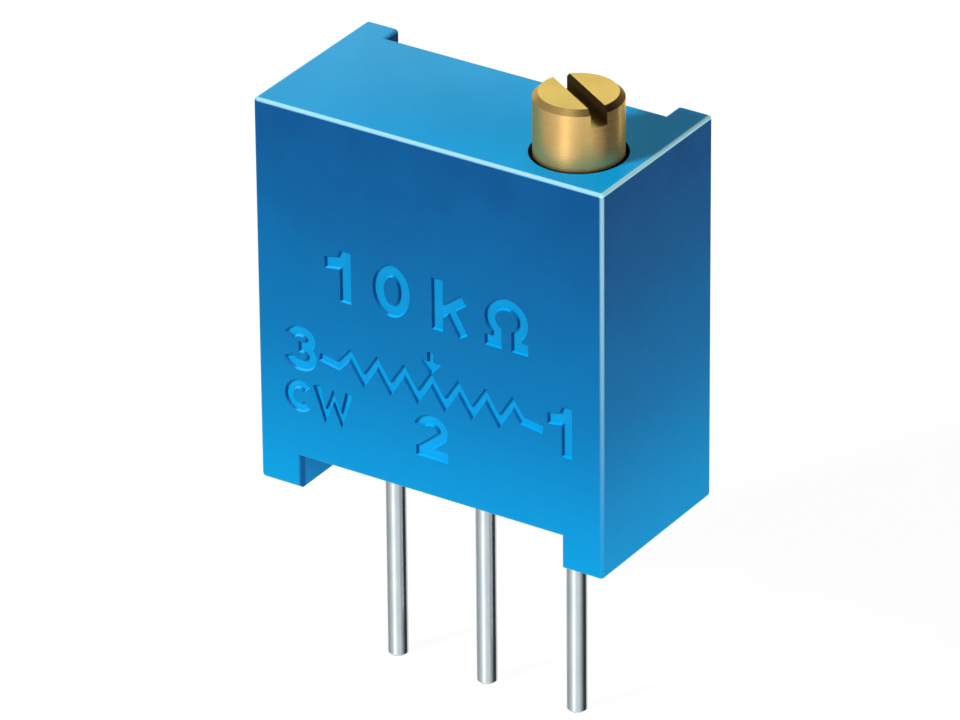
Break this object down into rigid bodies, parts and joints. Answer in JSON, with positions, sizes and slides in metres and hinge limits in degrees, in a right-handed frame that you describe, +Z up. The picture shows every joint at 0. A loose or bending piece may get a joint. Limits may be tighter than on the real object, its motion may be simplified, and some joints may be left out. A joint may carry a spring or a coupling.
{
  "type": "trimmer potentiometer",
  "caption": "Multi-turn trimmer potentiometer: blue moulded box on feet with wire terminals below and a slotted brass screw that turns a worm-driven wiper inside.",
  "frame": {"origin": "on the board plane under the feet, at the axis of the middle terminal", "axes": "+X along the row of terminals towards the side with the screw, +Y to the sealed back, +Z up to the screw head"},
  "size_m": [0.0096, 0.0048, 0.0169],
  "materials": {
    "housing_plastic": "satin moulded blue plastic",
    "screw_brass": "turned brass, fine lathe marks",
    "seal_rubber": "smooth black rubber",
    "pin_steel": "drawn steel wire",
    "rotor_plastic": "dark moulded plastic",
    "spring_metal": "stamped copper alloy",
    "substrate_ceramic": "fired alumina, matt",
    "resistive_ink": "fired resistive ink",
    "conductor_ink": "fired silver ink",
    "terminal_metal": "tinned copper wire",
    "solder_metal": "solder, bright",
    "sealant_resin": "cured potting resin"
  },
  "bodies": {
    "body": {"housing": "housing_plastic", "screw_retaining_pin": "pin_steel", "ceramic_substrate": "substrate_ceramic", "resistive_track": "resistive_ink", "conductor_trace_1": "conductor_ink", "conductor_trace_2": "conductor_ink", "conductor_trace_3": "conductor_ink", "terminal_pin_1": "terminal_metal", "terminal_pin_2": "terminal_metal", "terminal_pin_3": "terminal_metal", "solder_joint_1": "solder_metal", "solder_joint_2": "solder_metal", "solder_joint_3": "solder_metal", "rear_sealant": "sealant_resin"},
    "screw": {"adjustment_screw": "screw_brass", "screw_seal_ring": "seal_rubber"},
    "rotor": {"rotor_gear": "rotor_plastic", "wiper_spring": "spring_metal"}
  },
  "joints": [
    {"name": "screw_turn", "type": "hinge", "parent": "body", "child": "screw", "pos_m": [0.00313, -0.0008, 0.00555], "axis": [0, 0, 1], "range_deg": [-4500, 4500]},
    {"name": "rotor_turn", "type": "hinge", "parent": "body", "child": "rotor", "pos_m": [-0.00047, -0.0008, 0.00555], "axis": [0, 1, 0], "range_deg": [-150, 150]}
  ],
  "couplings": [
    {"joint": "rotor_turn", "follows": "screw_turn", "ratio": 0.033333}
  ]
}
